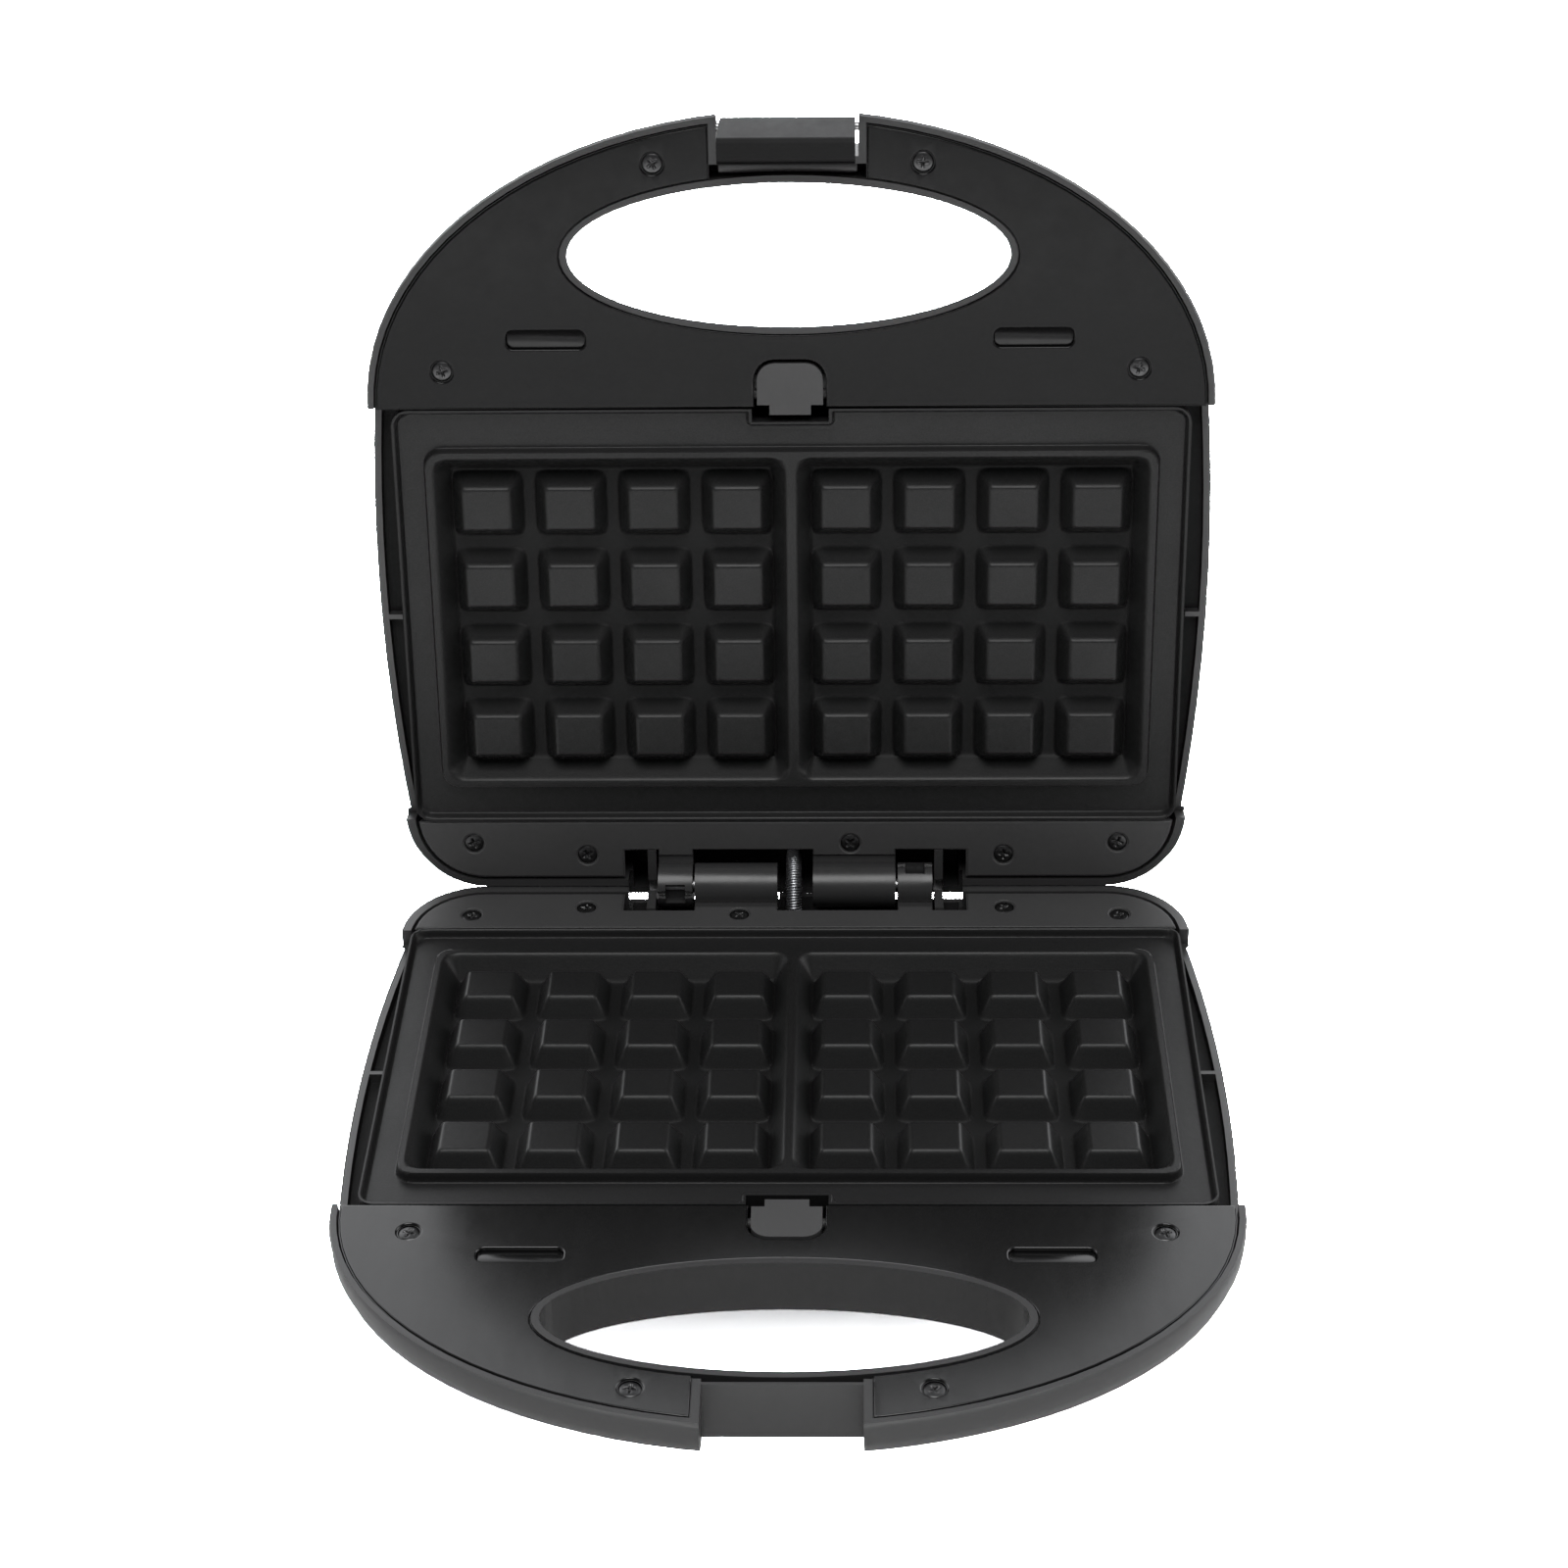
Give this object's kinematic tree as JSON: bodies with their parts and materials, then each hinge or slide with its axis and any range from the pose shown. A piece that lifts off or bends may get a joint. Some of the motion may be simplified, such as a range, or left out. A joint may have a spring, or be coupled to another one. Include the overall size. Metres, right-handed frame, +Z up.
{
  "type": "waffle maker",
  "caption": "Folding two-slice waffle maker standing open: two hinged shells with grip handles, lift-out waffle plates, release buttons and a swinging latch clip.",
  "frame": {"origin": "on the table under the middle of the open waffle maker, level with the undersides of its feet", "axes": "+X to the right along the hinge axis, -Y to the front where the handle of the base is, +Z up; the lid stands open behind the base"},
  "size_m": [0.2434, 0.294, 0.2785],
  "materials": {
    "shell_plastic": "satin-gloss black ABS, moulded",
    "panel_plastic": "glossier black ABS with fine moulding grain",
    "strip_plastic": "matte dark grey-black heat-resistant plastic",
    "button_plastic": "matte dark grey plastic",
    "clip_plastic": "matte dark grey plastic",
    "nonstick_plate": "cast aluminium with a fine-grained black non-stick coating",
    "screw_steel": "blackened cross-head steel screws",
    "element_steel": "sheathed heating tube, dull",
    "reflector_aluminium": "bright sheet aluminium",
    "pin_steel": "bright steel",
    "spring_steel": "bright close-coiled steel wire",
    "foot_rubber": "black rubber",
    "cable_rubber": "black rubber-sheathed lead",
    "gland_plastic": "matte black nylon",
    "terminal_ceramic": "unglazed white ceramic",
    "lens_red": "translucent red plastic",
    "lens_green": "translucent green plastic",
    "lamp_glass": "clear glass envelope"
  },
  "bodies": {
    "base": {"base_shell": "shell_plastic", "base_handle_panel": "panel_plastic", "base_hinge_strip": "strip_plastic", "base_element": "element_steel", "base_reflector": "reflector_aluminium", "base_element_clips": "reflector_aluminium", "base_reflector_screws": "screw_steel", "base_panel_screws": "screw_steel", "base_strip_screws": "screw_steel", "base_button_spring": "spring_steel", "foot_front_left": "foot_rubber", "foot_front_right": "foot_rubber", "foot_rear_left": "foot_rubber", "foot_rear_right": "foot_rubber", "thermostat": "terminal_ceramic", "thermal_fuse": "terminal_ceramic", "base_terminal_block": "terminal_ceramic", "cord_gland": "gland_plastic", "hinge_pin_left": "pin_steel", "hinge_pin_right": "pin_steel", "wire_guard_spring": "spring_steel", "hinge_lead": "cable_rubber"},
    "lid": {"lid_shell": "shell_plastic", "lid_handle_panel": "panel_plastic", "lid_hinge_strip": "strip_plastic", "lid_element": "element_steel", "lid_reflector": "reflector_aluminium", "lid_element_clips": "reflector_aluminium", "lid_reflector_screws": "screw_steel", "lid_panel_screws": "screw_steel", "lid_strip_screws": "screw_steel", "lid_button_spring": "spring_steel", "lid_terminal_block": "terminal_ceramic", "latch_pin": "pin_steel", "power_lens": "lens_red", "ready_lens": "lens_green", "power_lamp": "lamp_glass", "ready_lamp": "lamp_glass"},
    "base_plate": {"base_plate": "nonstick_plate"},
    "lid_plate": {"lid_plate": "nonstick_plate"},
    "base_button": {"base_release_button": "button_plastic"},
    "lid_button": {"lid_release_button": "button_plastic"},
    "latch": {"latch_clip": "clip_plastic"}
  },
  "joints": [
    {"name": "lid_hinge", "type": "hinge", "parent": "base", "child": "lid", "pos_m": [0, 0.0883, 0.045], "axis": [1, 0, 0], "range_deg": [0, 97.4], "deforming": ["wire_guard_spring", "hinge_lead"]},
    {"name": "base_plate_lift", "type": "slide", "parent": "base", "child": "base_plate", "axis": [0, 0, -1], "range_m": [-0.04, 0]},
    {"name": "lid_plate_lift", "type": "slide", "parent": "lid", "child": "lid_plate", "axis": [0, 0.9917, -0.1288], "range_m": [-0.022, 0]},
    {"name": "base_button_press", "type": "hinge", "parent": "base", "child": "base_button", "pos_m": [0, -0.0655, 0.04], "axis": [1, 0, 0], "range_deg": [0, 8], "stiffness_Nm_per_rad": 0.08, "springref_deg": -8.59, "deforming": ["base_button_spring"]},
    {"name": "lid_button_press", "type": "hinge", "parent": "lid", "child": "lid_button", "pos_m": [0, 0.11307, 0.19687], "axis": [-1, 0, 0], "range_deg": [0, 8], "stiffness_Nm_per_rad": 0.08, "springref_deg": -8.59, "deforming": ["lid_button_spring"]},
    {"name": "latch_swing", "type": "hinge", "parent": "lid", "child": "latch", "pos_m": [0, 0.1234, 0.27257], "axis": [1, 0, 0], "range_deg": [-8, 14]}
  ]
}
